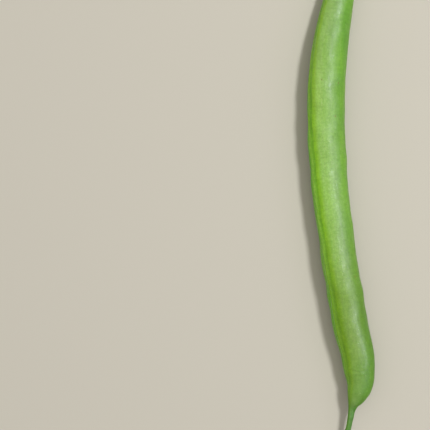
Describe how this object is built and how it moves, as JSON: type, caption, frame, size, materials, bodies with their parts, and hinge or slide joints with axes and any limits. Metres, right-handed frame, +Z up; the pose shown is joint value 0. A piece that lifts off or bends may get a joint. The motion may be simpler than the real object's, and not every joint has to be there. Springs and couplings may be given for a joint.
{
  "type": "green bean",
  "caption": "Slender fresh green bean pod, gently curved, with seam, seed swellings, curved beak, small calyx and stem, lying on its side.",
  "frame": {"origin": "on the surface that the bean lies on, under the middle of its outline", "axes": "+Y along the bean from the beak to the stem, +X to its right seen from above, +Z up"},
  "size_m": [0.017, 0.147, 0.0096],
  "materials": {
    "pod": "satin",
    "calyx": "matte",
    "stem": "matte"
  },
  "bodies": {
    "root": {"pod": "pod", "calyx": "calyx", "stem": "stem"}
  },
  "joints": []
}
